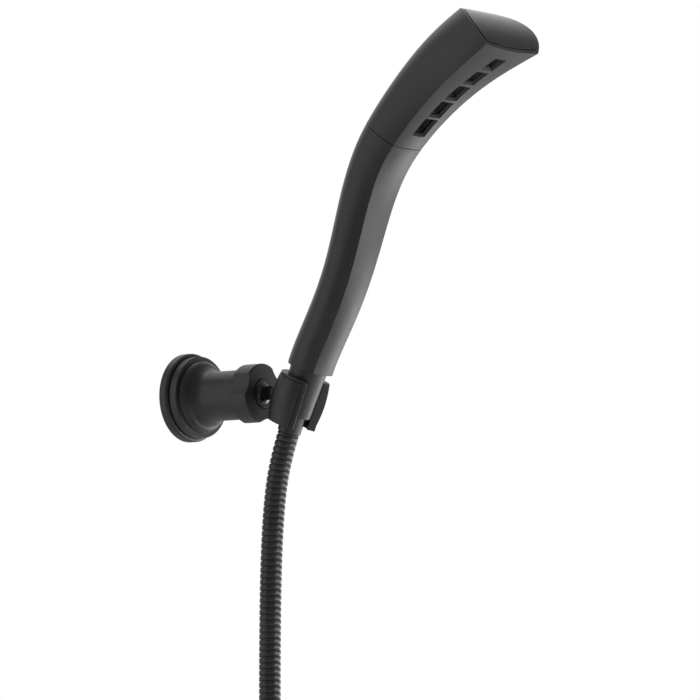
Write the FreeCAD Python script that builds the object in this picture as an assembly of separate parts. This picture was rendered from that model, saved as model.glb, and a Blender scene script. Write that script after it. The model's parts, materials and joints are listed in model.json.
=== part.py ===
import FreeCAD, Part
import math
import os

from FreeCAD import Vector

# Wall-mounted hand shower: bracket with a ball-jointed cradle, wand, conical hose nut and hose.
# Millimetres. The origin is the centre of the bracket's back face on the wall, +Z is up and the
# wand hangs in front of the wall, towards -Y. "out" is the distance from the wall, so y = -out.

# --- bracket -------------------------------------------------------------------------------
GASKET_THICK = 0.8
GASKET_RADIUS = 27.8
GASKET_HOLE_R = 9.0
PLATE_RADIUS = 26.4
PLATE_FRONT = 2.8
BOSS_RADIUS = 11.0
BOSS_BORE_R = 8.0
BOSS_END = 33.0
WALL_SCREW_SPACING = 34.0
WALL_SCREW_HOLE_R = 2.25
RING_RADIUS = 29.0
RING_EDGE = 1.8
RING_FRONT = 6.1
RING_BORE = 22.5
HEAD_ROOM = 9.6
RING_WEB = 2.0
BASE_RADIUS = 26.7
BASE_BACK = 6.3
BASE_FRONT = 12.3
BEAD_RADIUS = 23.8
BEAD_FRONT = 17.6
COVE_FRONT = 24.0
BODY_RADIUS = 16.2
BODY_FRONT = 50.3
SPIGOT_RADIUS = 15.6
SPIGOT_FRONT = 58.6
POCKET_RADIUS = 13.0
POCKET_FLOOR = 43.0
SET_SCREW_OUT = 28.5
SET_SCREW_R = 1.9
SET_SCREW_LENGTH = 4.4
HEX_SOCKET_R = 1.1

# --- clamp nut and ball joint ----------------------------------------------------------------
NUT_RADIUS = 19.4
NUT_CHAMFER = 0.8
NUT_BACK = 50.7
NUT_FRONT = 64.5
NUT_WEB = 1.8
NUT_MOUTH_R = 10.0
NUT_SCALLOP_ANGLES = (43.0, 163.0, 283.0)
NUT_SCALLOP_DEPTH = 2.7
NUT_SCALLOP_RADIUS = 25.5
FIT = 0.06
BALL_OUT = 58.6
BALL_RADIUS = 9.6
SEAT_FRONT = 57.8
SEAT_BACK = 46.5
RETAINER_FRONT = 65.0
RETAINER_COLLAR_R = 9.4
NECK_RADIUS = 4.7
NECK_END = 73.2
SPIGOT_R = 3.0
SPIGOT_END = 77.4
CRADLE_SCREW_R = 1.85
SCREW_HEAD_R = 3.5
SCREW_HEAD_BACK = 79.3
SCREW_HEAD_FRONT = 80.8
SCREW_START = 68.4
NECK_OUTER_END = 84.0

# --- the axis that the hose nut and the cradle share -------------------------------------------
# It leans away from the wall. "down" is the distance along it below the wand's bottom face.
LEAN = math.radians(22.5)
SEAT_OUT = 102.4
SEAT_UP = 15.2
CRADLE_TOP = 7.5
CRADLE_BOTTOM = 39.8
CRADLE_TOP_RADIUS = 16.6
CRADLE_MID_RADIUS = 18.0
CRADLE_END_RADIUS = 15.8
SHELL_INNER_R = 14.6
OPENING_HALF_ANGLE = math.radians(57.0)
WING_CORNER = 3.5
LIP = 1.9
EDGE_LIP = 3.9
EDGE_LIP_RADIUS = 15.8
EDGE_GAP = 0.3
PART_GAP = 0.1
NUT_TAPER_TOP_R = 12.2
NUT_TAPER_END_R = 10.6
HOSE_NUT_TOP = 0.3
HOSE_NUT_LENGTH = 33.0
HOSE_NUT_CHAMFER = 0.5
LINER_GAP = 0.35
THREAD_R = 10.4
NIPPLE_FLANGE_R = 10.9
NIPPLE_FLANGE_TOP = -6.0
HANDLE_FLOOR = -3.0
HANDLE_SKIRT = 1.3
NIPPLE_TOP = -16.0
VALVE_BORE_R = 7.0
NIPPLE_END = 10.0
WASHER_END = 12.0
BARB_FLANGE_END = 14.2
FERRULE_RADIUS = 7.7
FERRULE_END = 45.0

# --- wand ----------------------------------------------------------------------------------------
WAND_WALL = 2.2
CROWN = 1.8
# Sections from the bottom of the grip to past the tip. Each: the face line's place (out, up),
# half the face's width, half the widest width, depth of the widest line, thickness.
SECTIONS = (
    (111.1, -1.6, 10.2, 13.7, 12.2, 28.3),
    (134.5, 45.0, 10.4, 15.1, 13.0, 29.1),
    (150.1, 80.0, 11.4, 15.9, 14.0, 29.6),
    (161.4, 112.0, 12.5, 16.5, 15.2, 31.4),
    (175.5, 140.0, 13.9, 17.5, 16.6, 34.0),
    (199.5, 165.0, 15.8, 19.6, 17.8, 37.4),
    (226.8, 185.0, 19.4, 22.6, 18.6, 41.4),
    (254.8, 199.8, 24.4, 29.0, 18.8, 42.5),
    (279.0, 212.4, 31.5, 38.6, 19.0, 43.8),
)
SEAM_OUT = 171.5
SEAM_UP = 159.4
SEAM_ANGLE = math.radians(53.0)
SEAM_GAP = 0.35
NOSE_OUT = 230.4
NOSE_UP = 197.9
NOSE_RADIUS = 36.9
CAP_PROUD = 0.25
CAP_GROOVE = 0.55
CAP_GROOVE_DEPTH = 1.2
CAP_THICK = 2.6

# --- spray windows --------------------------------------------------------------------------------
WINDOWS = 5
WINDOW_FIRST = (196.4, 163.3)
WINDOW_LAST = (251.6, 198.0)
WINDOW_WIDTH = 12.0
WINDOW_LENGTH = 14.0
WINDOW_TAPER = 1.5
WINDOW_BULGE = 2.4
NOZZLE_DEPTH = 6.0
NOZZLE_OUTLET_R = 1.6
NOZZLE_GAP = 0.6
NOZZLE_HALF_WIDTH = 6.0
NOZZLE_HALF_LENGTH = 7.0
MANIFOLD_GAP = 0.4
MANIFOLD_REACH = 8.6
MANIFOLD_WALL = 1.6
MANIFOLD_DEPTH = 7.0
MANIFOLD_HALF = 8.5
WATERWAY_RADIUS = 5.0
WATERWAY_BORE = 3.8

# --- hose -------------------------------------------------------------------------------------------
HOSE_RADIUS = 7.1
HOSE_TOTAL = 1500.0
# The route below the upper ferrule, (across, out, up), down to where the coil begins.
HOSE_ROUTE = (
    (0.0, 85.2, -26.4),
    (0.0, 79.5, -40.2),
    (0.0, 73.5, -66.0),
    (0.0, 70.2, -112.0),
    (0.0, 69.4, -192.0),
    (0.0, 70.5, -258.0),
    (0.0, 70.2, -304.0),
)
COIL_RADIUS = 77.5
COIL_TURNS = 2
COIL_PITCH = 14.8
# The route from the coil's last turn down to the lower ferrule.
TAIL_ROUTE = (
    (29.6, 70.2, -304.0),
    (29.6, 70.8, -350.0),
    (26.5, 73.2, -424.0),
    (24.0, 75.0, -495.0),
    (24.0, 75.0, -547.0),
)
TIE_WIDTH = 12.0
TIE_THICK = 1.6
TIE_GAP = 0.5
SUPPLY_FERRULE_LENGTH = 12.0
SUPPLY_FLANGE_R = 9.4
SUPPLY_FLANGE_THICK = 2.2
SUPPLY_WASHER_THICK = 1.6
SUPPLY_RECESS_R = 9.9
SUPPLY_NUT_R = 12.4
SUPPLY_NUT_LENGTH = 16.0
SUPPLY_THREAD_R = 10.5
SUPPLY_THREAD_LENGTH = 9.0

OUTWARD = Vector(0, -1, 0)
WALL = Vector(0, 0, 0)
SEAT = Vector(0, -SEAT_OUT, SEAT_UP)
SEAT_DOWN = Vector(0, math.sin(LEAN), -math.cos(LEAN))
SEAT_FORWARD = Vector(0, -math.cos(LEAN), -math.sin(LEAN))
BIG = 200.0


def at(across, out, up):
    """A point from its distance across, out from the wall and up."""
    return Vector(across, -out, up)


def turned(profile, origin, along):
    """A solid of revolution. Each profile point is (radius, distance along the axis)."""
    radial = Vector(1, 0, 0)
    points = [origin + radial * r + along * a for r, a in profile]
    face = Part.Face(Part.makePolygon(points + points[:1]))
    return face.revolve(origin, along, 360)


def turned_edges(edges, origin, along):
    """A solid of revolution from drawn edges that close a profile."""
    return Part.Face(Part.Wire(edges)).revolve(origin, along, 360)


def disc(radius, start, end, origin=WALL, along=OUTWARD):
    return Part.makeCylinder(radius, end - start, origin + along * start, along)


def ring(outer, inner, start, end, origin=WALL, along=OUTWARD):
    return disc(outer, start, end, origin, along).cut(disc(inner, start, end, origin, along))


def half_space(point, normal):
    """A large block whose one face passes through the point, on the side of the normal."""
    return Part.makeCylinder(BIG * 2, BIG * 3, point, normal)


# --- bracket pieces -----------------------------------------------------------------------------------

def screw_holes(radius, end):
    holes = []
    for side in (-1, 1):
        start = at(side * WALL_SCREW_SPACING / 2, 0, 0)
        holes.append(Part.makeCylinder(radius, end, start, OUTWARD))
    return holes[0].fuse(holes[1])


def wall_gasket():
    pad = ring(GASKET_RADIUS, GASKET_HOLE_R, 0, GASKET_THICK)
    return pad.cut(screw_holes(WALL_SCREW_HOLE_R + 0.5, GASKET_THICK))


def mounting_plate():
    plate = disc(PLATE_RADIUS, GASKET_THICK, PLATE_FRONT)
    boss = disc(BOSS_RADIUS, PLATE_FRONT, BOSS_END)
    body = plate.fuse(boss).cut(disc(BOSS_BORE_R, GASKET_THICK, BOSS_END - 3.0))
    body = body.cut(screw_holes(WALL_SCREW_HOLE_R, PLATE_FRONT))
    flat = Part.makeBox(3, 8, 8, at(BOSS_RADIUS - 0.8, SET_SCREW_OUT + 4, -4))
    return body.cut(flat).removeSplitter()


def escutcheon():
    edge = RING_EDGE
    x = Vector(1, 0, 0)
    corner = [(RING_RADIUS, RING_FRONT - edge), (RING_RADIUS - edge * 0.3, RING_FRONT - edge * 0.3),
              (RING_RADIUS - edge, RING_FRONT)]
    a, b, c = [x * r + OUTWARD * o for r, o in corner]
    back = x * RING_RADIUS
    centre_front = OUTWARD * RING_FRONT
    edges = [Part.LineSegment(WALL, back).toShape(), Part.LineSegment(back, a).toShape(),
             Part.Arc(a, b, c).toShape(), Part.LineSegment(c, centre_front).toShape(),
             Part.LineSegment(centre_front, WALL).toShape()]
    body = turned_edges(edges, WALL, OUTWARD)
    body = body.cut(disc(GASKET_RADIUS + 0.2, 0, RING_FRONT - RING_WEB))
    return body.cut(disc(RING_BORE, 0, RING_FRONT))


def bracket_body():
    """Stepped base, convex bead and concave cove that run into the plain barrel."""
    x = Vector(1, 0, 0)

    def p(r, out):
        return x * r + OUTWARD * out

    bead_mid = p(BEAD_RADIUS - 1.2, BASE_FRONT + (BEAD_FRONT - BASE_FRONT) * 0.62)
    cove_mid = p(BODY_RADIUS + 1.3, BEAD_FRONT + (COVE_FRONT - BEAD_FRONT) * 0.45)
    bead_end = p(BEAD_RADIUS - 3.8, BEAD_FRONT)
    outline = [p(0, BASE_BACK), p(BASE_RADIUS - 0.4, BASE_BACK), p(BASE_RADIUS, BASE_BACK + 0.4),
               p(BASE_RADIUS, BASE_FRONT - 0.5), p(BASE_RADIUS - 0.5, BASE_FRONT),
               p(BEAD_RADIUS, BASE_FRONT)]
    edges = [Part.LineSegment(a, b).toShape() for a, b in zip(outline, outline[1:])]
    edges.append(Part.Arc(outline[-1], bead_mid, bead_end).toShape())
    edges.append(Part.Arc(bead_end, cove_mid, p(BODY_RADIUS, COVE_FRONT)).toShape())
    rest = [p(BODY_RADIUS, COVE_FRONT), p(BODY_RADIUS, BODY_FRONT), p(SPIGOT_RADIUS, BODY_FRONT),
            p(SPIGOT_RADIUS, SPIGOT_FRONT), p(0, SPIGOT_FRONT), p(0, BASE_BACK)]
    edges += [Part.LineSegment(a, b).toShape() for a, b in zip(rest, rest[1:])]
    body = turned_edges(edges, WALL, OUTWARD)
    body = body.cut(disc(BOSS_RADIUS + FIT, BASE_BACK, BOSS_END + 1.0))
    body = body.cut(ring(RING_BORE, BOSS_RADIUS + 1.6, BASE_BACK, HEAD_ROOM))
    body = body.cut(disc(POCKET_RADIUS, POCKET_FLOOR, SPIGOT_FRONT))
    screw_hole = Part.makeCylinder(SET_SCREW_R + FIT, BODY_RADIUS, at(6, SET_SCREW_OUT, 0), x)
    return body.cut(screw_hole)


def set_screw():
    x = Vector(1, 0, 0)
    start = at(BOSS_RADIUS - 0.7, SET_SCREW_OUT, 0)
    body = Part.makeCylinder(SET_SCREW_R, SET_SCREW_LENGTH, start, x)
    socket = Part.makePolygon([start + x * 2.6 + Vector(0, math.cos(t), math.sin(t)) * HEX_SOCKET_R
                               for t in [math.radians(60 * k) for k in range(7)]])
    return body.cut(Part.Face(socket).extrude(x * 3))


def friction_ring():
    return ring(12.4, 7.0, POCKET_FLOOR + 0.1, SEAT_BACK - 0.1)


def ball_seat():
    """The cup behind the ball, which turns in the bracket's pocket."""
    cup = ring(POCKET_RADIUS - FIT, 5.5, SEAT_BACK, SEAT_FRONT)
    return cup.cut(Part.makeSphere(BALL_RADIUS + FIT, at(0, BALL_OUT, 0)))


def ball_retainer():
    """The ring in front of the ball. Its collar shows inside the nut's mouth."""
    flange = disc(SPIGOT_RADIUS - 0.9, SPIGOT_FRONT + 1.2, NUT_FRONT - NUT_WEB - 0.1)
    collar = disc(RETAINER_COLLAR_R, SPIGOT_FRONT + 1.2, RETAINER_FRONT)
    body = flange.fuse(collar).cut(Part.makeSphere(BALL_RADIUS + FIT, at(0, BALL_OUT, 0)))
    return body.removeSplitter()


def clamp_nut():
    """Round nut with three shallow hollows for the fingers and a web that holds the retainer."""
    edge = NUT_CHAMFER
    body = turned([(0, NUT_BACK), (NUT_RADIUS - edge, NUT_BACK), (NUT_RADIUS, NUT_BACK + edge),
                   (NUT_RADIUS, NUT_FRONT - edge), (NUT_RADIUS - edge, NUT_FRONT),
                   (0, NUT_FRONT)], WALL, OUTWARD)
    body = body.cut(disc(SPIGOT_RADIUS + FIT, NUT_BACK, NUT_FRONT - NUT_WEB))
    body = body.cut(disc(NUT_MOUTH_R, NUT_FRONT - NUT_WEB, NUT_FRONT))
    distance = NUT_RADIUS - NUT_SCALLOP_DEPTH + NUT_SCALLOP_RADIUS
    for angle in NUT_SCALLOP_ANGLES:
        turn = math.radians(angle)
        centre = Vector(distance * math.cos(turn), 0, distance * math.sin(turn))
        body = body.cut(Part.makeCylinder(NUT_SCALLOP_RADIUS, NUT_FRONT, centre, OUTWARD))
    return body


def ball_stud():
    ball = Part.makeSphere(BALL_RADIUS, at(0, BALL_OUT, 0))
    body = ball.fuse(disc(NECK_RADIUS, BALL_OUT, NECK_END))
    body = body.fuse(disc(SPIGOT_R, NECK_END, SPIGOT_END))
    body = body.cut(disc(CRADLE_SCREW_R + 0.05, SCREW_START - 0.2, SPIGOT_END))
    return body.removeSplitter()


def cradle_screw():
    """The screw that holds the cradle on the ball's neck, with a cross slot."""
    head = disc(SCREW_HEAD_R, SCREW_HEAD_BACK, SCREW_HEAD_FRONT)
    shank = disc(CRADLE_SCREW_R, SCREW_START, SCREW_HEAD_BACK)
    long_side, width, depth = 4.4, 0.9, 0.8
    middle = at(0, SCREW_HEAD_FRONT, 0)
    across = Part.makeBox(long_side, depth, width, middle - Vector(long_side / 2, 0, width / 2))
    upright = Part.makeBox(width, depth, long_side, middle - Vector(width / 2, 0, long_side / 2))
    return head.fuse(shank).cut(across.fuse(upright))


# --- cradle ------------------------------------------------------------------------------------------

def seat_point(down, forward=0.0, across=0.0):
    return SEAT + SEAT_DOWN * down + SEAT_FORWARD * forward + Vector(across, 0, 0)


def cradle_blank():
    """The barrel-shaped outside of the cradle."""
    top = CRADLE_TOP
    middle = (CRADLE_TOP + CRADLE_BOTTOM) / 2
    x = Vector(1, 0, 0)
    a = seat_point(top) + x * CRADLE_TOP_RADIUS
    b = seat_point(middle) + x * CRADLE_MID_RADIUS
    c = seat_point(CRADLE_BOTTOM) + x * CRADLE_END_RADIUS
    edges = [Part.LineSegment(seat_point(top), a).toShape(), Part.Arc(a, b, c).toShape(),
             Part.LineSegment(c, seat_point(CRADLE_BOTTOM)).toShape(),
             Part.LineSegment(seat_point(CRADLE_BOTTOM), seat_point(top)).toShape()]
    return turned_edges(edges, SEAT, SEAT_DOWN)


def hose_nut_radius(down):
    return NUT_TAPER_TOP_R + (NUT_TAPER_END_R - NUT_TAPER_TOP_R) * down / HOSE_NUT_LENGTH


def cradle_bore():
    """The tapered seat that the conical hose nut rests in."""
    start = CRADLE_TOP - 1
    end = CRADLE_BOTTOM + 1
    wide = hose_nut_radius(start) + LINER_GAP
    narrow = hose_nut_radius(end) + LINER_GAP
    return turned([(0, start), (wide, start), (narrow, end), (0, end)], SEAT, SEAT_DOWN)


def opening(forward):
    """The wedge open to the front, its point this far in front of the axis."""
    reach = 3 * CRADLE_MID_RADIUS
    side = Vector(reach * math.sin(OPENING_HALF_ANGLE), 0, 0)
    tip = seat_point(CRADLE_BOTTOM + 2, forward)
    middle = tip + SEAT_FORWARD * reach * math.cos(OPENING_HALF_ANGLE)
    base = Part.Face(Part.makePolygon([tip, middle + side, middle - side, tip]))
    return base.extrude(SEAT_DOWN * (CRADLE_TOP - CRADLE_BOTTOM - 4))


def wing_corners():
    """What is cut away to round the upper front corners of both wings."""
    turn = OPENING_HALF_ANGLE - math.asin(EDGE_LIP * math.sin(OPENING_HALF_ANGLE) / EDGE_LIP_RADIUS)
    front = EDGE_LIP_RADIUS * math.cos(turn)
    side = 2 * CRADLE_MID_RADIUS

    def p(down, ahead):
        return seat_point(CRADLE_TOP + down, front + ahead, -side)

    inset = WING_CORNER * (1 - math.sqrt(0.5))
    edges = [Part.Arc(p(WING_CORNER, 0), p(inset, -inset), p(0, -WING_CORNER)).toShape(),
             Part.makePolygon([p(0, -WING_CORNER), p(-1, -WING_CORNER), p(-1, side),
                               p(WING_CORNER, side), p(WING_CORNER, 0)])]
    return Part.Face(Part.Wire(edges)).extrude(Vector(2 * side, 0, 0))


def cradle_shell():
    """The metal outside, with the short neck that the ball stud enters."""
    below = CRADLE_BOTTOM + 1
    neck = disc(NECK_RADIUS, NECK_END + 0.2, NECK_OUTER_END)
    skin = cradle_blank().cut(disc(SHELL_INNER_R, 0, below, SEAT, SEAT_DOWN))
    neck = neck.cut(disc(SHELL_INNER_R + 1.0, 0, below, SEAT, SEAT_DOWN))
    body = skin.fuse(neck).cut(opening(0.0))
    body = body.cut(disc(2 * CRADLE_MID_RADIUS, 0, CRADLE_TOP + LIP, SEAT, SEAT_DOWN))
    body = body.cut(disc(SPIGOT_R + FIT, NECK_END, SPIGOT_END + 0.2))
    body = body.cut(disc(CRADLE_SCREW_R + 0.25, NECK_END, NECK_OUTER_END))
    return body.cut(disc(SCREW_HEAD_R + 0.5, SCREW_HEAD_BACK - 0.1, NECK_OUTER_END)).removeSplitter()


def cradle_liner():
    """The inner seat. Its lip covers the shell's top edge and both edges of the opening."""
    lip_radius = CRADLE_TOP_RADIUS - PART_GAP
    whole = cradle_blank().cut(cradle_bore())
    sleeve = whole.common(disc(SHELL_INNER_R - PART_GAP, 0, CRADLE_BOTTOM + 1, SEAT, SEAT_DOWN))
    top_lip = whole.common(disc(lip_radius, 0, CRADLE_TOP + LIP - EDGE_GAP, SEAT, SEAT_DOWN))
    edge_lips = whole.common(disc(EDGE_LIP_RADIUS, 0, CRADLE_BOTTOM + 1, SEAT, SEAT_DOWN))
    body = sleeve.fuse(top_lip).fuse(edge_lips.common(opening(EDGE_GAP)))
    body = body.cut(opening(EDGE_LIP)).cut(wing_corners())
    return body.cut(disc(SCREW_HEAD_R + 0.5, SCREW_HEAD_BACK - 0.3, NECK_OUTER_END)).removeSplitter()


# --- hose nut and the parts in it --------------------------------------------------------------------

def hose_nut():
    """Conical nut: thread at the top, then a ledge that pulls the hose's flange up."""
    chamfer = HOSE_NUT_CHAMFER
    outline = [(0, HOSE_NUT_TOP), (NUT_TAPER_TOP_R - chamfer, HOSE_NUT_TOP),
               (NUT_TAPER_TOP_R, HOSE_NUT_TOP + chamfer),
               (NUT_TAPER_END_R, HOSE_NUT_LENGTH - chamfer),
               (NUT_TAPER_END_R - chamfer, HOSE_NUT_LENGTH), (0, HOSE_NUT_LENGTH)]
    body = turned(outline, SEAT, SEAT_DOWN)
    body = body.cut(disc(THREAD_R + FIT, 0, BARB_FLANGE_END + 0.1, SEAT, SEAT_DOWN))
    return body.cut(disc(FERRULE_RADIUS + FIT, BARB_FLANGE_END, HOSE_NUT_LENGTH + 1, SEAT, SEAT_DOWN))


def inlet_nipple():
    """The threaded brass inlet, held by a flange above the handle's floor."""
    flange = disc(NIPPLE_FLANGE_R, NIPPLE_FLANGE_TOP, HANDLE_FLOOR - 0.1, SEAT, SEAT_DOWN)
    shank = disc(THREAD_R, HANDLE_FLOOR - 0.1, NIPPLE_END, SEAT, SEAT_DOWN)
    spigot = disc(VALVE_BORE_R + 0.2, NIPPLE_TOP, NIPPLE_FLANGE_TOP, SEAT, SEAT_DOWN)
    body = flange.fuse(shank).fuse(spigot)
    body = body.cut(disc(WATERWAY_RADIUS + FIT, NIPPLE_TOP, NIPPLE_TOP + 8.0, SEAT, SEAT_DOWN))
    body = body.cut(disc(WATERWAY_BORE, NIPPLE_TOP + 8.0, -4.0, SEAT, SEAT_DOWN))
    return body.cut(disc(VALVE_BORE_R, -4.0, NIPPLE_END, SEAT, SEAT_DOWN)).removeSplitter()


def check_valve_body():
    """A sleeve with a hub ring and one bar for the rubber disc's stem."""
    sleeve_bore, hub_bore, bar_width, bar_thick = 5.6, 4.4, 1.4, 1.2
    body = ring(VALVE_BORE_R - FIT, sleeve_bore, -3.8, 5.0, SEAT, SEAT_DOWN)
    hub = ring(sleeve_bore, hub_bore, -bar_thick / 2, bar_thick / 2, SEAT, SEAT_DOWN)
    bar_length = 2 * hub_bore + 0.8
    bar = Part.makeBox(bar_length, bar_width, bar_thick)
    bar.translate(Vector(-bar_length / 2, -bar_width / 2, -bar_thick / 2))
    bar.rotate(WALL, Vector(1, 0, 0), math.degrees(LEAN))
    bar.translate(SEAT)
    return body.fuse(hub).fuse(bar).removeSplitter()


def check_valve_disc():
    """Rubber umbrella on the spider's upper side, which lets water rise only."""
    stem = disc(1.0, -1.8, -0.8, SEAT, SEAT_DOWN)
    return turned([(0, -2.6), (5.0, -1.6), (5.0, -1.1), (0, -1.8)], SEAT, SEAT_DOWN).fuse(stem)


def flow_limiter():
    return ring(VALVE_BORE_R - FIT, 2.6, 5.2, 7.2, SEAT, SEAT_DOWN)


def inlet_screen():
    top, thick, spacing, hole_radius = 7.4, 1.0, 2.2, 0.75
    body = disc(VALVE_BORE_R - FIT, top, top + thick, SEAT, SEAT_DOWN)
    for row in range(-2, 3):
        for column in range(-2, 3):
            if math.hypot(row, column) < 2.5:
                place = seat_point(top, row * spacing, column * spacing)
                body = body.cut(Part.makeCylinder(hole_radius, thick, place, SEAT_DOWN))
    return body


def hose_washer():
    return ring(THREAD_R - 0.6, 5.2, NIPPLE_END, WASHER_END, SEAT, SEAT_DOWN)


def upper_barb():
    """The hose's metal insert: a flange under the washer and a barbed tail in the hose."""
    body = turned([(4.0, WASHER_END), (THREAD_R - 0.7, WASHER_END), (THREAD_R - 0.7, BARB_FLANGE_END),
                   (5.2, BARB_FLANGE_END), (5.2, 20), (4.8, 24), (5.2, 24), (4.8, 28), (5.2, 28),
                   (4.8, 32), (4.0, 32)], SEAT, SEAT_DOWN)
    return body


def upper_ferrule():
    edge = 0.6
    start = BARB_FLANGE_END + 0.1
    body = turned([(5.3, start), (FERRULE_RADIUS, start), (FERRULE_RADIUS, FERRULE_END - edge),
                   (FERRULE_RADIUS - edge, FERRULE_END), (5.3, FERRULE_END)], SEAT, SEAT_DOWN)
    return body


# --- wand --------------------------------------------------------------------------------------------

def section_frames():
    """Each section's point, its direction along the wand and its outward face normal."""
    places = [Vector(0, -s[0], s[1]) for s in SECTIONS]
    frames = []
    for i, place in enumerate(places):
        before = places[max(i - 1, 0)]
        after = places[min(i + 1, len(places) - 1)]
        along = (after - before).normalize()
        normal = Vector(0, -along.z, along.y)
        frames.append((place, along, normal))
    return frames


def section_wire(frame, section, inset):
    """A crowned face, two flanks and a rounded back, drawn inwards by the inset."""
    place, normal = frame[0], frame[2]
    face_half, half, widest, thick = section[2:]
    face_half -= inset * 0.8
    half -= inset
    thick -= inset

    def p(across, depth):
        return place + Vector(across, 0, 0) - normal * depth

    crease = CROWN + inset
    round_over = 0.5523
    left = [p(-face_half, crease), p(-half, crease + 0.45 * (widest - crease)), p(-half, widest)]
    right = [p(half, widest), p(half, crease + 0.45 * (widest - crease)), p(face_half, crease)]
    low = widest + round_over * (thick - widest)
    back_left = [left[-1], p(-half, low), p(-half * round_over, thick), p(0, thick)]
    back_right = [p(0, thick), p(half * round_over, thick), p(half, low), right[0]]
    edges = [Part.Arc(right[-1], p(0, inset), left[0]).toShape()]
    for poles in (left, back_left, back_right, right):
        curve = Part.BezierCurve()
        curve.setPoles(poles)
        edges.append(curve.toShape())
    return Part.Wire(edges)


def wand_solid(inset):
    frames = section_frames()
    wires = [section_wire(f, s, inset) for f, s in zip(frames, SECTIONS)]
    return Part.makeLoft(wires, True, False)


def seam_point(shift):
    along = Vector(0, -math.cos(SEAM_ANGLE), math.sin(SEAM_ANGLE))
    return at(0, SEAM_OUT, SEAM_UP) + along * shift, along


def nose_cut(radius):
    """Everything beyond the rounded end, for a nose of this radius."""
    toward = Vector(0, -math.sqrt(0.5), math.sqrt(0.5))
    centre = at(0, NOSE_OUT, NOSE_UP)
    outside = half_space(centre + toward * 16.0, toward)
    drum = Part.makeCylinder(radius, BIG, centre - Vector(BIG / 2, 0, 0), Vector(1, 0, 0))
    return outside.cut(drum)


def window_frames():
    """Five places along the face, on a slightly bowed line, with their directions."""
    first = Vector(0, -WINDOW_FIRST[0], WINDOW_FIRST[1])
    last = Vector(0, -WINDOW_LAST[0], WINDOW_LAST[1])
    chord = last - first
    lift = Vector(0, -chord.z, chord.y).normalize()
    frames = []
    for i in range(WINDOWS):
        t = i / (WINDOWS - 1)
        place = first + chord * t - lift * (WINDOW_BULGE * 4 * t * (1 - t))
        along = (chord - lift * (WINDOW_BULGE * 4 * (1 - 2 * t))).normalize()
        frames.append((place, along, Vector(0, -along.z, along.y)))
    return frames


def tapered_block(frame, front, back):
    """A block with a larger front. Each end: half width, half length, depth below the face."""
    place, along, normal = frame
    x = Vector(1, 0, 0)
    wires = []
    for half_width, half_length, depth in (front, back):
        middle = place - normal * depth
        corners = [middle + x * a * half_width + along * b * half_length
                   for a, b in ((-1, -1), (1, -1), (1, 1), (-1, 1))]
        wires.append(Part.makePolygon(corners + corners[:1]))
    return Part.makeLoft(wires, True, True)


def window_opening(frame):
    half_width = WINDOW_WIDTH / 2
    half_length = WINDOW_LENGTH / 2
    slope = WINDOW_TAPER / WAND_WALL
    front = (half_width + slope, half_length + slope, -1.0)
    depth = WAND_WALL + 0.4
    back = (half_width - slope * depth, half_length - slope * depth, depth)
    return tapered_block(frame, front, back)


def handle_shell(outer, inner):
    top, along = seam_point(-SEAM_GAP)
    foot = half_space(seat_point(HANDLE_SKIRT), SEAT_DOWN)
    floor = half_space(seat_point(HANDLE_FLOOR), SEAT_DOWN)
    body = outer.cut(foot).cut(half_space(top, along))
    body = body.cut(inner.cut(floor))
    body = body.cut(disc(NUT_TAPER_TOP_R + 0.3, 0, HANDLE_SKIRT + 1, SEAT, SEAT_DOWN))
    return body.cut(disc(THREAD_R + FIT, -5, 5, SEAT, SEAT_DOWN))


def head_shell(outer, inner):
    low, along = seam_point(0.0)
    body = outer.cut(half_space(low, along * -1)).cut(nose_cut(NOSE_RADIUS))
    body = body.cut(inner)
    for frame in window_frames():
        body = body.cut(window_opening(frame))
    return body


def end_cap(snug):
    """The cap that closes the rounded end, with a fine groove all round its face."""
    low, along = seam_point(0.0)
    plug = snug.cut(nose_cut(NOSE_RADIUS - CAP_GROOVE_DEPTH))
    face = wand_solid(WAND_WALL + CAP_GROOVE).cut(nose_cut(NOSE_RADIUS + CAP_PROUD))
    thin = snug.cut(nose_cut(NOSE_RADIUS - CAP_THICK))
    return plug.fuse(face).cut(thin).cut(half_space(low, along * -1)).removeSplitter()


def seam_sleeve(snug):
    """The inner collar that joins the two shells."""
    low, along = seam_point(-7.0)
    high = seam_point(7.0)[0]
    body = snug.cut(half_space(low, along * -1)).cut(half_space(high, along))
    return body.cut(wand_solid(WAND_WALL + 2.2))


def nozzle(frame):
    """A spray insert with a tapered recess and one round outlet."""
    wide, long_ = NOZZLE_HALF_WIDTH, NOZZLE_HALF_LENGTH
    top = WAND_WALL + NOZZLE_GAP
    block = tapered_block(frame, (wide, long_, top), (wide, long_, top + NOZZLE_DEPTH))
    recess = tapered_block(frame, (wide - 1.2, long_ - 1.2, top - 0.1), (wide - 3.0, long_ - 3.0, top + 3.6))
    place, normal = frame[0], frame[2]
    outlet = Part.makeCylinder(NOZZLE_OUTLET_R, 2 * NOZZLE_DEPTH, place, normal * -1)
    return block.cut(recess).cut(outlet)


def manifold_depth():
    """How far the manifold's near side lies below the face."""
    return WAND_WALL + NOZZLE_GAP + NOZZLE_DEPTH + MANIFOLD_GAP


def manifold_loft(grow):
    """The chamber's solid along the nozzles, or its hollow when grow is negative."""
    frames = window_frames()
    reach = MANIFOLD_REACH + grow
    ends = [(frames[0], -reach)] + [(f, 0.0) for f in frames] + [(frames[-1], reach)]
    top = manifold_depth() - grow
    base = top + MANIFOLD_DEPTH + 2 * grow
    side = Vector(MANIFOLD_HALF + grow, 0, 0)
    wires = []
    for (place, along, normal), shift in ends:
        middle = place + along * shift
        near = middle - normal * top
        far = middle - normal * base
        wires.append(Part.makePolygon([near + side, near - side, far - side, far + side, near + side]))
    return Part.makeLoft(wires, True, True)


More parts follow.
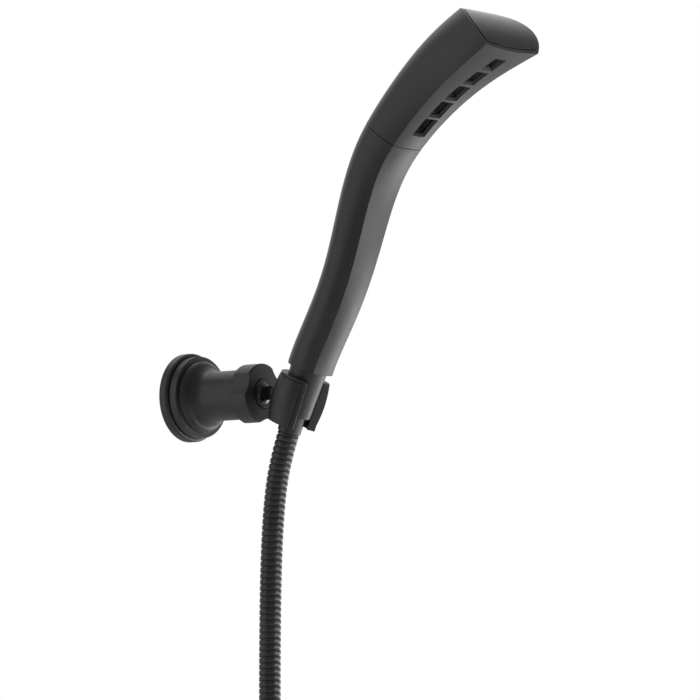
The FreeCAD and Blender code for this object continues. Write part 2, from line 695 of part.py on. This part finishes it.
def spray_manifold():
    """The chamber behind the nozzles, with one port for each and one for the waterway."""
    port_radius, mouth_radius = 2.0, 3.2
    body = manifold_loft(0.0).cut(manifold_loft(-MANIFOLD_WALL))
    for place, _, normal in window_frames():
        middle = place - normal * (WAND_WALL + NOZZLE_DEPTH)
        body = body.cut(Part.makeCylinder(port_radius, 2 * MANIFOLD_WALL, middle, normal * -1))
    mouth, along = waterway_end()
    return body.cut(Part.makeCylinder(mouth_radius, 3 * MANIFOLD_WALL, mouth - along, along))


def waterway_end():
    """The middle of the manifold's lower face and the direction into it."""
    place, along, normal = window_frames()[0]
    return place - along * MANIFOLD_REACH - normal * (manifold_depth() + MANIFOLD_DEPTH / 2), along


def rounded_path(points):
    """Straight runs joined by tangent arcs. Returns the wire and the arcs' radii."""
    edges = []
    radii = []
    here = points[0]
    for i in range(1, len(points) - 1):
        before = points[i] - points[i - 1]
        after = points[i + 1] - points[i]
        half_turn = before.getAngle(after) / 2
        trim = 0.45 * min(before.Length, after.Length)
        radius = trim / math.tan(half_turn)
        radii.append(radius)
        start = points[i] - Vector(before).normalize() * trim
        end = points[i] + Vector(after).normalize() * trim
        inward = (Vector(after).normalize() - Vector(before).normalize()).normalize()
        apex = points[i] + inward * (radius / math.cos(half_turn) - radius)
        edges.append(Part.LineSegment(here, start).toShape())
        edges.append(Part.Arc(start, apex, end).toShape())
        here = end
    edges.append(Part.LineSegment(here, points[-1]).toShape())
    return Part.Wire(edges), radii


def tube_along(points, radius):
    path, radii = rounded_path(points)
    direction = points[1] - points[0]
    circle = Part.Wire(Part.makeCircle(radius, points[0], direction))
    return path.makePipeShell([circle], True, False), path, radii


def waterway_tube():
    mouth, along = waterway_end()
    route = [seat_point(NIPPLE_TOP + 7.8), seat_point(-82.0), mouth - along * 12.0, mouth]
    return tube_along(route, WATERWAY_RADIUS)[0].cut(tube_along(route, WATERWAY_BORE)[0])


# --- hose --------------------------------------------------------------------------------------------

def report_tube(name, solid, path, radii):
    section = math.pi * HOSE_RADIUS ** 2
    print(name, "length", round(path.Length, 1), "volume / section x length",
          round(solid.Volume / (section * path.Length), 4), "radii", [round(r) for r in radii])


def hose_run(name, route):
    points = [at(*p) for p in route]
    solid, path, radii = tube_along(points, HOSE_RADIUS)
    report_tube(name, solid, path, radii)
    return solid, path.Length


def coil_centre():
    across, out, up = HOSE_ROUTE[-1]
    return at(across, out + COIL_RADIUS, up)


def hose_coil():
    """The outer shape of the wound turns, which lie side by side."""
    width = COIL_TURNS * COIL_PITCH + 2 * HOSE_RADIUS
    start = coil_centre() - Vector(HOSE_RADIUS, 0, 0)
    x = Vector(1, 0, 0)
    return ring(COIL_RADIUS + HOSE_RADIUS, COIL_RADIUS - HOSE_RADIUS, 0, width, start, x)


def hose_tie():
    """A strap round the turns at the coil's far side."""
    width = COIL_TURNS * COIL_PITCH + 2 * HOSE_RADIUS + 2 * TIE_GAP
    depth = 2 * HOSE_RADIUS + 2 * TIE_GAP
    corner = coil_centre() + at(-HOSE_RADIUS - TIE_GAP, COIL_RADIUS + HOSE_RADIUS + TIE_GAP, -TIE_WIDTH / 2)
    hole = Part.makeBox(width, depth, TIE_WIDTH, corner)
    grow = Vector(TIE_THICK, TIE_THICK, 0)
    strap = Part.makeBox(width + 2 * TIE_THICK, depth + 2 * TIE_THICK, TIE_WIDTH, corner - grow)
    return strap.cut(hole)


def supply_end():
    return at(*TAIL_ROUTE[-1]), Vector(0, 0, -1)


def supply_ferrule():
    """Crimped ferrule with the flange that the supply nut turns on."""
    end, down = supply_end()
    length = SUPPLY_FERRULE_LENGTH
    stop = length + SUPPLY_FLANGE_THICK
    return turned([(4.0, 0), (FERRULE_RADIUS, 0), (FERRULE_RADIUS, length), (SUPPLY_FLANGE_R, length),
                   (SUPPLY_FLANGE_R, stop), (4.0, stop)], end, down)


def supply_nut():
    """Round coupling nut: wrench flats, a recess for flange and washer, an open thread."""
    end, down = supply_end()
    start = SUPPLY_FERRULE_LENGTH - 3.0
    stop = start + SUPPLY_NUT_LENGTH
    edge = 0.8
    body = turned([(0, start), (SUPPLY_NUT_R - edge, start), (SUPPLY_NUT_R, start + edge),
                   (SUPPLY_NUT_R, stop - edge), (SUPPLY_NUT_R - edge, stop), (0, stop)], end, down)
    body = body.cut(disc(FERRULE_RADIUS + FIT, start, stop, end, down))
    body = body.cut(disc(SUPPLY_RECESS_R, SUPPLY_FERRULE_LENGTH - 0.1, stop, end, down))
    body = body.cut(disc(SUPPLY_THREAD_R, stop - SUPPLY_THREAD_LENGTH, stop, end, down))
    flat_depth, flat_length = 0.9, 6.0
    for side in (-1, 1):
        corner = end + down * (start + flat_length) + Vector(side * (SUPPLY_NUT_R + 2 - flat_depth) - 2,
                                                             -SUPPLY_NUT_R, 0)
        body = body.cut(Part.makeBox(4, 2 * SUPPLY_NUT_R, flat_length, corner))
    return body


def supply_washer():
    end, down = supply_end()
    start = SUPPLY_FERRULE_LENGTH + SUPPLY_FLANGE_THICK + 0.1
    return ring(SUPPLY_RECESS_R - 0.2, 5.0, start, start + SUPPLY_WASHER_THICK, end, down)


def build():
    outer = wand_solid(0.0)
    inner = wand_solid(WAND_WALL)
    snug = wand_solid(WAND_WALL + 0.12)
    upper_hose, upper_length = hose_run("hose_tube", HOSE_ROUTE)
    lower_hose, lower_length = hose_run("hose_tail", TAIL_ROUTE)
    wound = COIL_TURNS * math.hypot(2 * math.pi * COIL_RADIUS, COIL_PITCH)
    print("hose length", round(upper_length + wound + lower_length), "wanted", HOSE_TOTAL)
    parts = {
        "wall_gasket": wall_gasket(),
        "mounting_plate": mounting_plate(),
        "escutcheon": escutcheon(),
        "bracket_body": bracket_body(),
        "bracket_set_screw": set_screw(),
        "friction_ring": friction_ring(),
        "ball_seat": ball_seat(),
        "ball_retainer": ball_retainer(),
        "clamp_nut": clamp_nut(),
        "ball_stud": ball_stud(),
        "cradle_screw": cradle_screw(),
        "cradle_shell": cradle_shell(),
        "cradle_liner": cradle_liner(),
        "handle_shell": handle_shell(outer, inner),
        "head_shell": head_shell(outer, inner),
        "end_cap": end_cap(snug),
        "seam_sleeve": seam_sleeve(snug),
        "waterway_tube": waterway_tube(),
        "spray_manifold": spray_manifold(),
        "inlet_nipple": inlet_nipple(),
        "check_valve_body": check_valve_body(),
        "check_valve_disc": check_valve_disc(),
        "flow_limiter": flow_limiter(),
        "inlet_screen": inlet_screen(),
        "hose_nut": hose_nut(),
        "hose_washer": hose_washer(),
        "hose_barb": upper_barb(),
        "hose_ferrule": upper_ferrule(),
        "hose_tube": upper_hose,
        "hose_coil": hose_coil(),
        "hose_tail": lower_hose,
        "hose_tie": hose_tie(),
        "supply_ferrule": supply_ferrule(),
        "supply_nut": supply_nut(),
        "supply_washer": supply_washer(),
    }
    for number, frame in enumerate(window_frames(), 1):
        parts["spray_nozzle_%d" % number] = nozzle(frame)
    return parts


os.makedirs("parts", exist_ok=True)
for node, shape in build().items():
    print(node, len(shape.Solids), shape.isValid(), round(shape.Volume))
    shape.exportStep("parts/%s.step" % node)
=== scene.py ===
import bpy
import json
import math
from mathutils import Matrix, Vector


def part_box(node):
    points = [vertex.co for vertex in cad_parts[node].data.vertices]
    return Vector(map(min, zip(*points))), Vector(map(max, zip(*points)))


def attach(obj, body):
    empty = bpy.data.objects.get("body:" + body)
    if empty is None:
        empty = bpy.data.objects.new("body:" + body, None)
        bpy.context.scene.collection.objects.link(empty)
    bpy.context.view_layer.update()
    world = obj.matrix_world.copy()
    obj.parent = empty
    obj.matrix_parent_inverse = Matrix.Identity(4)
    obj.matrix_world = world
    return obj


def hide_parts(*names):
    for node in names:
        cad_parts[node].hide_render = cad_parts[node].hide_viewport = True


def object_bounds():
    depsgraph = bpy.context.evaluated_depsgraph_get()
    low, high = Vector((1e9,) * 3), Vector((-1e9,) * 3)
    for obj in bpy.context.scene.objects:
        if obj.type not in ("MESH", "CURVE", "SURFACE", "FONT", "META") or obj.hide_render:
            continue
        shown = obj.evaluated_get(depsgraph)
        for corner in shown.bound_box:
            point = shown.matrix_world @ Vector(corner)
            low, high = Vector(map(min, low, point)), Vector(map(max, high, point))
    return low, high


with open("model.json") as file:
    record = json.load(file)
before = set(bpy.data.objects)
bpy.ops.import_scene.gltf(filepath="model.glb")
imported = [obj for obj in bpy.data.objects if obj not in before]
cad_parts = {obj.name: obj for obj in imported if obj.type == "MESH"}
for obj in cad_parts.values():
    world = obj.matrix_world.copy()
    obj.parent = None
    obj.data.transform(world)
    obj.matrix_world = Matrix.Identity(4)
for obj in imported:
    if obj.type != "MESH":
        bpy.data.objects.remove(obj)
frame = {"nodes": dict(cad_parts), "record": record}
cad_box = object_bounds()
record = frame["record"]
nodes = frame["nodes"]

# Sizes in metres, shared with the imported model.
HOSE_RADIUS = 0.0071
HOSE_PITCH = 0.0039
HOSE_GROOVE = 0.0008
HOSE_COLUMNS = 32
HOSE_ROUTE = (
    (0.0, -0.0852, -0.0264),
    (0.0, -0.0795, -0.0402),
    (0.0, -0.0735, -0.0660),
    (0.0, -0.0702, -0.1120),
    (0.0, -0.0694, -0.1920),
    (0.0, -0.0705, -0.2580),
    (0.0, -0.0702, -0.3040),
)
TAIL_ROUTE = (
    (0.0296, -0.0702, -0.3040),
    (0.0296, -0.0708, -0.3500),
    (0.0265, -0.0732, -0.4240),
    (0.0240, -0.0750, -0.4950),
    (0.0240, -0.0750, -0.5470),
)
COIL_RADIUS = 0.0775
COIL_TURNS = 2
COIL_PITCH = 0.0148
COIL_POINTS = 24


# --- materials -----------------------------------------------------------------------------

def new_material(name):
    material = bpy.data.materials.new(name)
    material.use_nodes = True
    tree = material.node_tree
    shader = tree.nodes["Principled BSDF"]
    return material, tree, shader


def add(tree, kind, **values):
    """A node with some of its sockets set by name."""
    node = tree.nodes.new(kind)
    for key, value in values.items():
        node.inputs[key.replace("_", " ")].default_value = value
    return node


def grain(tree, scale, detail, low, high):
    """A noise pattern squeezed between two values."""
    place = tree.nodes.new("ShaderNodeTexCoord")
    noise = add(tree, "ShaderNodeTexNoise", Scale=scale, Detail=detail)
    tree.links.new(place.outputs["Object"], noise.inputs["Vector"])
    span = tree.nodes.new("ShaderNodeMapRange")
    span.inputs["To Min"].default_value = low
    span.inputs["To Max"].default_value = high
    tree.links.new(noise.outputs["Fac"], span.inputs["Value"])
    return noise, span


def finish_material(name, dark, light, rough, texture, bump, metallic=0.0, coat=0.0,
                    specular=0.5, edge=0.0003):
    """A moulded or coated finish: mottled colour, uneven roughness, fine bump, softened edges."""
    material, tree, shader = new_material(name)
    noise, rough_span = grain(tree, 60.0, 4.0, rough[0], rough[1])
    tree.links.new(rough_span.outputs["Result"], shader.inputs["Roughness"])
    ramp = tree.nodes.new("ShaderNodeValToRGB")
    ramp.color_ramp.elements[0].position = 0.35
    ramp.color_ramp.elements[1].position = 0.7
    ramp.color_ramp.elements[0].color = (*dark, 1)
    ramp.color_ramp.elements[1].color = (*light, 1)
    tree.links.new(noise.outputs["Fac"], ramp.inputs["Fac"])
    tree.links.new(ramp.outputs["Color"], shader.inputs["Base Color"])
    height = grain(tree, texture, 3.0, 0.0, 1.0)[1]
    relief = add(tree, "ShaderNodeBump", Strength=bump, Distance=0.0002)
    tree.links.new(height.outputs["Result"], relief.inputs["Height"])
    soft_edge = add(tree, "ShaderNodeBevel", Radius=edge)
    soft_edge.samples = 8
    tree.links.new(soft_edge.outputs["Normal"], relief.inputs["Normal"])
    tree.links.new(relief.outputs["Normal"], shader.inputs["Normal"])
    shader.inputs["Metallic"].default_value = metallic
    shader.inputs["Coat Weight"].default_value = coat
    shader.inputs["Coat Roughness"].default_value = 0.08
    shader.inputs["Specular IOR Level"].default_value = specular
    return material


MATERIALS = {
    "black_metal": finish_material("black_metal", (0.022, 0.022, 0.023), (0.027, 0.027, 0.028),
                                   (0.34, 0.44), 2200.0, 0.12),
    "black_gloss": finish_material("black_gloss", (0.010, 0.010, 0.011), (0.013, 0.013, 0.014),
                                   (0.06, 0.10), 900.0, 0.02, coat=0.6),
    "black_plastic": finish_material("black_plastic", (0.022, 0.022, 0.023), (0.027, 0.027, 0.028),
                                     (0.36, 0.46), 2600.0, 0.12),
    "cap_gloss": finish_material("cap_gloss", (0.010, 0.010, 0.011), (0.013, 0.013, 0.014),
                                 (0.16, 0.24), 1500.0, 0.04),
    "nozzle_dark": finish_material("nozzle_dark", (0.018, 0.018, 0.019), (0.028, 0.028, 0.029),
                                   (0.32, 0.42), 2000.0, 0.10),
    "seat_plastic": finish_material("seat_plastic", (0.05, 0.05, 0.052), (0.07, 0.07, 0.072),
                                    (0.35, 0.5), 1800.0, 0.10),
    "inner_plastic": finish_material("inner_plastic", (0.62, 0.61, 0.58), (0.70, 0.69, 0.66),
                                     (0.35, 0.5), 1500.0, 0.08),
    "valve_plastic": finish_material("valve_plastic", (0.08, 0.20, 0.42), (0.11, 0.25, 0.48),
                                     (0.3, 0.45), 1500.0, 0.06),
    "brass_part": finish_material("brass_part", (0.52, 0.37, 0.15), (0.62, 0.45, 0.20),
                                  (0.18, 0.34), 1200.0, 0.08, metallic=1.0),
    "steel_part": finish_material("steel_part", (0.42, 0.42, 0.43), (0.52, 0.52, 0.53),
                                  (0.22, 0.38), 1400.0, 0.08, metallic=1.0),
    "rubber_part": finish_material("rubber_part", (0.012, 0.012, 0.012), (0.022, 0.022, 0.022),
                                   (0.6, 0.8), 1600.0, 0.25),
    "hose_black": finish_material("hose_black", (0.024, 0.024, 0.025), (0.030, 0.030, 0.031),
                                  (0.26, 0.36), 1800.0, 0.10),
    "strap_black": finish_material("strap_black", (0.010, 0.010, 0.010), (0.03, 0.03, 0.03),
                                   (0.7, 0.9), 1400.0, 0.6),
}


def dress_cad_nodes():
    """Every carried-over CAD node takes the material that its record slot names."""
    slots = {s["node"]: s["material_slot"] for s in record["subparts"]}
    for name, node in nodes.items():
        node.data.materials.clear()
        node.data.materials.append(MATERIALS[slots[name]])


# --- hose ------------------------------------------------------------------------------------

def coil_points():
    """The coil's turns as points of the hose's own spline, from the first to the last."""
    across, out, up = HOSE_ROUTE[-1]
    centre = (out - COIL_RADIUS, up)
    points = []
    for i in range(1, COIL_TURNS * COIL_POINTS):
        turn = i / COIL_POINTS
        angle = math.pi + 2 * math.pi * turn
        points.append((across + COIL_PITCH * turn, centre[0] - COIL_RADIUS * math.cos(angle),
                       centre[1] + COIL_RADIUS * math.sin(angle)))
    return points


def hose_line():
    """The hose's centreline: one smooth spline through the listed route and the coil."""
    points = list(HOSE_ROUTE) + coil_points() + list(TAIL_ROUTE)
    curve = bpy.data.curves.new("hose_line", "CURVE")
    curve.dimensions = "3D"
    curve.resolution_u = 12
    spline = curve.splines.new("NURBS")
    spline.points.add(len(points) - 1)
    for target, point in zip(spline.points, points):
        target.co = (*point, 1.0)
    spline.order_u = 3
    spline.use_endpoint_u = True
    holder = bpy.data.objects.new("hose_line", curve)
    mesh = bpy.data.meshes.new_from_object(holder)
    line = [v.co.copy() for v in mesh.vertices]
    bpy.data.objects.remove(holder)
    return line


def resample(line, step):
    """The same line at even steps, with the distance of each point."""
    lengths = [0.0]
    for a, b in zip(line, line[1:]):
        lengths.append(lengths[-1] + (b - a).length)
    count = int(lengths[-1] / step)
    points = []
    here = 0
    for i in range(count + 1):
        want = lengths[-1] * i / count
        while here < len(line) - 2 and lengths[here + 1] < want:
            here += 1
        share = (want - lengths[here]) / (lengths[here + 1] - lengths[here])
        points.append(line[here].lerp(line[here + 1], share))
    return points, lengths[-1]


# One winding of the hose: share of the pitch, and depth below the outside as a share of the groove.
WINDING = ((0.0, 1.0), (0.10, 0.95), (0.15, 0.22), (0.24, 0.04), (0.58, 0.0), (0.86, 0.10), (0.95, 0.42))


def path_frames(points):
    """A side direction at each point that turns as little as it can along the line."""
    side = Vector((1, 0, 0))
    frames = []
    for i, point in enumerate(points):
        tangent = (points[min(i + 1, len(points) - 1)] - points[max(i - 1, 0)]).normalized()
        side = (side - tangent * side.dot(tangent)).normalized()
        frames.append((point, side.copy(), tangent.cross(side)))
    return frames


def hose_mesh(line):
    """A tube whose surface is one helical winding with a narrow groove, as on interlock hose."""
    points, total = resample(line, HOSE_PITCH / 6)
    frames = path_frames(points)
    spacing = total / (len(points) - 1)
    rows = len(WINDING)
    turns = int(total / HOSE_PITCH) + 1

    def on_hose(distance, column, depth):
        place = min(max(distance, 0.0), total) / spacing
        low = min(int(place), len(frames) - 2)
        share = place - low
        a, b = frames[low], frames[low + 1]
        point, side, other = (p.lerp(q, share) for p, q in zip(a, b))
        angle = 2 * math.pi * column / HOSE_COLUMNS
        around = (side * math.cos(angle) + other * math.sin(angle)).normalized()
        return point + around * (HOSE_RADIUS - HOSE_GROOVE * depth)

    vertices = [on_hose(0.0, j, 1.0) for j in range(HOSE_COLUMNS)]
    vertices += [on_hose(total, j, 1.0) for j in range(HOSE_COLUMNS)]
    numbers = {}

    def vertex(row, column):
        """The vertex of a helical row, or of an end ring where the row has run past the end."""
        if column == HOSE_COLUMNS:
            row, column = row + rows, 0
        turn, k = divmod(row, rows)
        share, depth = WINDING[k]
        distance = HOSE_PITCH * (turn + share + column / HOSE_COLUMNS)
        if distance <= 0:
            return column
        if distance >= total:
            return HOSE_COLUMNS + column
        if (row, column) not in numbers:
            numbers[row, column] = len(vertices)
            vertices.append(on_hose(distance, column, depth))
        return numbers[row, column]

    faces = [tuple(range(HOSE_COLUMNS))[::-1], tuple(range(HOSE_COLUMNS, 2 * HOSE_COLUMNS))]
    for row in range(-rows, turns * rows):
        for column in range(HOSE_COLUMNS):
            corners = [vertex(row, column), vertex(row, column + 1),
                       vertex(row + 1, column + 1), vertex(row + 1, column)]
            corners = list(dict.fromkeys(corners))
            if len(corners) > 2:
                faces.append(tuple(corners))
    mesh = bpy.data.meshes.new("hose")
    mesh.from_pydata(vertices, [], faces)
    mesh.polygons.foreach_set("use_smooth", [True] * len(mesh.polygons))
    mesh.update()
    mesh.materials.append(MATERIALS["hose_black"])
    hose = bpy.data.objects.new("hose", mesh)
    bpy.context.scene.collection.objects.link(hose)
    return hose, points


def make_hose(strap):
    line = hose_line()
    hose, points = hose_mesh(line)
    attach(hose, "hose")
    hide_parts("hose_tube", "hose_coil", "hose_tail")


# --- strap round the coil ------------------------------------------------------------------------

STRAP_CORNER = 0.0065
STRAP_THICK = 0.0015
STRAP_STEP = 0.0004
STRAP_RIB = 0.00012
TAIL_LENGTH = 0.026


def strap_loop(low, high):
    """Even steps round a rectangle with rounded corners, each with its outward direction."""
    corners = ((high.x, high.y, 0), (low.x, high.y, 90), (low.x, low.y, 180), (high.x, low.y, 270))
    turns = []
    for x, y, start in corners:
        centre = Vector((x + math.copysign(STRAP_CORNER, (low.x + high.x) / 2 - x),
                         y + math.copysign(STRAP_CORNER, (low.y + high.y) / 2 - y), 0))
        for k in range(9):
            angle = math.radians(start + 90 * k / 8)
            turns.append(centre + Vector((math.cos(angle), math.sin(angle), 0)) * STRAP_CORNER)
    points = resample(turns + turns[:1], STRAP_STEP)[0][:-1]
    loop = []
    for i, point in enumerate(points):
        along = (points[(i + 1) % len(points)] - points[i - 1]).normalized()
        loop.append((point, Vector((along.y, -along.x, 0))))
    return loop


def band(vertices, faces, loop, inner, outer, low, high, closed):
    """A ribbed webbing band along the loop, between two heights and two offsets."""
    edge = 0.0003
    first = len(vertices)
    profile = ((outer, low + edge), (outer, high - edge), (outer - edge, high), (inner, high - edge),
               (inner, low + edge), (outer - edge, low))
    count = len(profile)
    for i, (point, outward) in enumerate(loop):
        rib = STRAP_RIB * math.cos(math.pi * i / 2)
        for offset, height in profile:
            raised = rib if offset > inner else 0.0
            vertices.append(point + outward * (offset + raised) + Vector((0, 0, height)))
    steps = len(loop) if closed else len(loop) - 1
    for i in range(steps):
        j = (i + 1) % len(loop)
        for k in range(count):
            m = (k + 1) % count
            faces.append((first + i * count + k, first + j * count + k,
                          first + j * count + m, first + i * count + m))
    if not closed:
        faces.append(tuple(first + k for k in range(count)))
        faces.append(tuple(first + (len(loop) - 1) * count + k for k in reversed(range(count))))


def make_strap():
    """A woven strap wrapped round both turns, with its loose end laid over the front."""
    low, high = (Vector(c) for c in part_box("hose_tie"))
    loop = strap_loop(low, high)
    vertices = []
    faces = []
    band(vertices, faces, loop, -STRAP_THICK, -STRAP_RIB, low.z, high.z, True)
    middle = (low.x + high.x) / 2
    front = [(p, n) for p, n in loop if n.y < -0.99 and abs(p.x - middle) < TAIL_LENGTH / 2]
    band(vertices, faces, front, 0.0, 0.0011, low.z + 0.0004, high.z - 0.0004, False)
    mesh = bpy.data.meshes.new("coil_strap")
    mesh.from_pydata(vertices, [], faces)
    mesh.update()
    mesh.materials.append(MATERIALS["strap_black"])
    strap = bpy.data.objects.new("coil_strap", mesh)
    bpy.context.scene.collection.objects.link(strap)
    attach(strap, "hose")
    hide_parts("hose_tie")
    return strap


# --- camera, light and floor -------------------------------------------------------------------

VIEW_AZIMUTH = math.radians(-51.5)
VIEW_ELEVATION = math.radians(-5.1)
LENS = 300.0
CAMERA_PLACE = Vector((-2.91395, -2.45350, -0.30808))
KEY_POWER = 9.0
SIDE_POWER = 6.0
TOP_POWER = 3.0
LEFT_POWER = 3.9
FLOOR_BELOW = 0.02
FLOOR_REACH = 3.0


def view_axes():
    right = Vector((math.cos(VIEW_AZIMUTH), math.sin(VIEW_AZIMUTH), 0))
    back = Vector((math.sin(VIEW_AZIMUTH) * math.cos(VIEW_ELEVATION),
                   -math.cos(VIEW_AZIMUTH) * math.cos(VIEW_ELEVATION), math.sin(VIEW_ELEVATION)))
    return right, back.cross(right), back


def make_camera():
    data = bpy.data.cameras.new("camera")
    data.lens = LENS
    data.sensor_width = 36.0
    data.clip_end = 50.0
    camera = bpy.data.objects.new("camera", data)
    right, up, back = view_axes()
    turn = Matrix((right, up, back)).transposed().to_4x4()
    camera.matrix_world = Matrix.Translation(CAMERA_PLACE) @ turn
    bpy.context.scene.collection.objects.link(camera)
    bpy.context.scene.camera = camera


def add_light(name, place, target, width, height, power):
    data = bpy.data.lights.new(name, "AREA")
    data.shape = "RECTANGLE"
    data.size = width
    data.size_y = height
    data.energy = power
    light = bpy.data.objects.new(name, data)
    light.location = place
    light.rotation_euler = (Vector(target) - Vector(place)).to_track_quat("-Z", "Y").to_euler()
    bpy.context.scene.collection.objects.link(light)
    light.visible_camera = False


def make_lights():
    middle = Vector((0, -0.13, 0.02))
    right, up, back = view_axes()

    def around(side, high, toward):
        return middle + right * side + up * high + back * toward

    add_light("key", around(0.85, -0.62, -0.45), middle, 1.0, 0.8, KEY_POWER)
    add_light("side", around(1.15, -0.25, 0.35), middle, 0.7, 0.7, SIDE_POWER)
    add_light("top", around(-0.35, 1.25, -0.7), middle, 1.0, 0.6, TOP_POWER)
    add_light("left", around(-1.2, 0.1, 0.30), middle, 1.0, 1.9, LEFT_POWER)


def make_world():
    """Even white behind the object; for its lighting, white from behind and dim from the front."""
    world = bpy.data.worlds.new("studio")
    bpy.context.scene.world = world
    world.use_nodes = True
    tree = world.node_tree
    ray = tree.nodes.new("ShaderNodeLightPath")
    seen = tree.nodes["Background"]
    seen.inputs["Color"].default_value = (1, 1, 1, 1)
    seen.inputs["Strength"].default_value = 1.0
    place = tree.nodes.new("ShaderNodeTexCoord")
    facing = tree.nodes.new("ShaderNodeVectorMath")
    facing.operation = "DOT_PRODUCT"
    facing.inputs[1].default_value = -view_axes()[2]
    tree.links.new(place.outputs["Generated"], facing.inputs[0])
    share = add(tree, "ShaderNodeMapRange")
    share.inputs["From Min"].default_value = -1.0
    tree.links.new(facing.outputs["Value"], share.inputs["Value"])
    ramp = tree.nodes.new("ShaderNodeValToRGB")
    ramp.color_ramp.elements[0].color = (0.19, 0.19, 0.19, 1)
    ramp.color_ramp.elements[1].color = (1.0, 1.0, 1.0, 1)
    for position, level in ((0.5, 0.28), (0.76, 0.40), (0.90, 0.95)):
        stop = ramp.color_ramp.elements.new(position)
        stop.color = (level, level, level, 1)
    tree.links.new(share.outputs["Result"], ramp.inputs["Fac"])
    lit = tree.nodes.new("ShaderNodeBackground")
    lit.inputs["Color"].default_value = (1, 1, 1, 1)
    tree.links.new(ramp.outputs["Color"], lit.inputs["Strength"])
    mix = tree.nodes.new("ShaderNodeMixShader")
    tree.links.new(ray.outputs["Is Camera Ray"], mix.inputs["Fac"])
    tree.links.new(lit.outputs["Background"], mix.inputs[1])
    tree.links.new(seen.outputs["Background"], mix.inputs[2])
    tree.links.new(mix.outputs["Shader"], tree.nodes["World Output"].inputs["Surface"])


def make_floor():
    low = cad_box[0][2] - FLOOR_BELOW
    mesh = bpy.data.meshes.new("floor")
    corners = [(x * FLOOR_REACH, y * FLOOR_REACH, low) for x, y in ((-1, -1), (1, -1), (1, 1), (-1, 1))]
    mesh.from_pydata(corners, [], [(0, 1, 2, 3)])
    floor = bpy.data.objects.new("floor", mesh)
    bpy.context.scene.collection.objects.link(floor)
    mesh.materials.append(finish_material("floor_paper", (0.82, 0.82, 0.82), (0.86, 0.86, 0.86),
                                          (0.8, 0.95), 300.0, 0.02))


make_camera()
dress_cad_nodes()
make_hose(make_strap())
make_world()
make_lights()
make_floor()
bpy.context.scene.view_settings.view_transform = "Standard"
